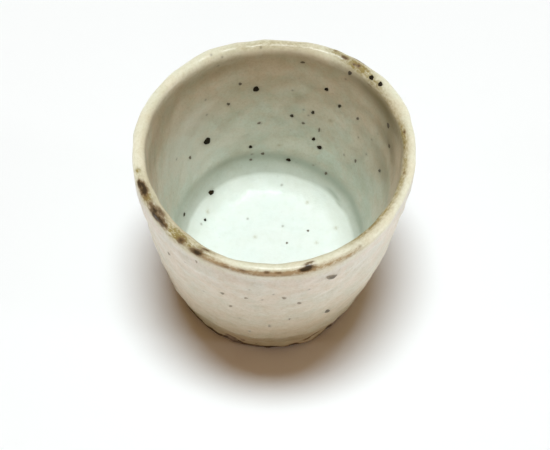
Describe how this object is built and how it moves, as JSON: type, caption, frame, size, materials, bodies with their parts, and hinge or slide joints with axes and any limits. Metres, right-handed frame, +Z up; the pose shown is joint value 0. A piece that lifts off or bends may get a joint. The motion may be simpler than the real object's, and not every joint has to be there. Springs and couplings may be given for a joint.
{
  "type": "soba choko cup",
  "caption": "Small handleless stoneware dipping cup with a tapered thrown wall, low foot ring, pale glaze inside and out and an iron-brown lip.",
  "frame": {"origin": "on the surface the cup stands on, below the middle of its mouth", "axes": "+Z up through the mouth; -Y is the side that faces the viewer in the picture"},
  "size_m": [0.08, 0.08, 0.067],
  "materials": {
    "bare_clay": "unglazed fired stoneware, matte",
    "foot_clay": "unglazed fired stoneware, matte, darker where it stands",
    "inside_glaze": "pale green-white ash glaze with iron specks, satin gloss",
    "outside_glaze": "warm grey-beige glaze with iron specks, satin",
    "lip_iron": "cream glaze over brushed iron, brown where it breaks on the edge"
  },
  "bodies": {
    "root": {"clay_body": "bare_clay", "foot_ring": "foot_clay", "inside_glaze": "inside_glaze", "outside_glaze": "outside_glaze", "lip_iron_band": "lip_iron"}
  },
  "joints": []
}
